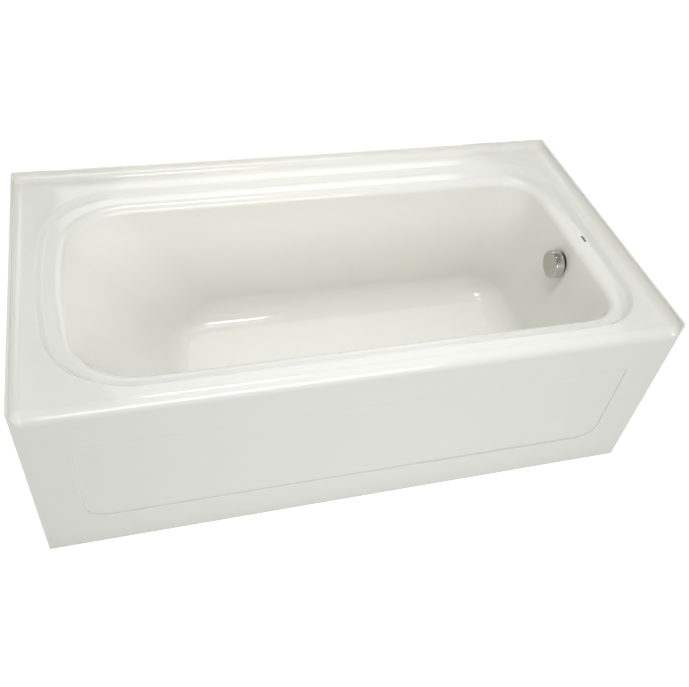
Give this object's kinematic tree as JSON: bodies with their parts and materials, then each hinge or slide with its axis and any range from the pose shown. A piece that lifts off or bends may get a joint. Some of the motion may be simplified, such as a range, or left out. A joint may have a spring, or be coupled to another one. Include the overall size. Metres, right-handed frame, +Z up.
{
  "type": "alcove bathtub",
  "caption": "Rectangular alcove bathtub with an apron front, sloped backrest, sunk rim, tile flange on three sides, and a knob-and-cable pop-up drain.",
  "frame": {"origin": "middle of the bounding box on the floor the tub stands on", "axes": "+X along the tub towards the drain end, +Y towards the back wall of the alcove, +Z up; the apron faces -Y"},
  "size_m": [1.524, 0.8128, 0.5144],
  "materials": {
    "acrylic": "high-gloss bone-white acrylic skin over a reinforced back",
    "timber": "sawn softwood, unfinished",
    "pipe_plastic": "moulded black ABS, semi-matt",
    "white_plastic": "moulded white plastic, semi-matt",
    "rubber": "moulded rubber, matt",
    "chrome": "polished chrome plate",
    "brass": "machined brass",
    "steel": "plain stainless steel"
  },
  "bodies": {
    "tub": {"tub_shell": "acrylic", "base_board": "timber", "base_feet": "timber", "batten_back": "timber", "batten_front": "timber", "batten_head": "timber", "batten_foot": "timber", "apron_rail": "timber", "apron_posts": "timber", "overflow_seal": "rubber", "overflow_gasket": "rubber", "overflow_retainer": "white_plastic", "overflow_elbow": "pipe_plastic", "overflow_pipe": "pipe_plastic", "waste_tee": "pipe_plastic", "slip_nuts": "pipe_plastic", "slip_washers": "white_plastic", "drain_shoe": "pipe_plastic", "drain_gasket": "rubber", "drain_body": "chrome", "cable_sheath": "pipe_plastic", "cable_ferrules": "brass", "rocker_pin": "brass"},
    "knob": {"overflow_knob": "chrome", "knob_set_screw": "steel", "knob_spindle": "brass", "spindle_drum": "white_plastic"},
    "stopper": {"stopper_cap": "chrome", "stopper_seal": "rubber", "stopper_stem": "brass"},
    "rocker": {"lift_rocker": "brass"}
  },
  "joints": [
    {"name": "knob_turn", "type": "hinge", "parent": "tub", "child": "knob", "pos_m": [0.63709, -0.0156, 0.388], "axis": [-1, 0, 0], "range_deg": [0, 120]},
    {"name": "stopper_lift", "type": "slide", "parent": "tub", "child": "stopper", "axis": [0, 0, 1], "range_m": [0, 0.01]},
    {"name": "rocker_tilt", "type": "hinge", "parent": "tub", "child": "rocker", "pos_m": [0.535, -0.0156, 0.034], "axis": [0, 1, 0], "range_deg": [0, 25]}
  ],
  "couplings": [
    {"joint": "stopper_lift", "follows": "knob_turn", "m_per_rad": 0.00477},
    {"joint": "rocker_tilt", "follows": "knob_turn", "ratio": 0.2083}
  ]
}
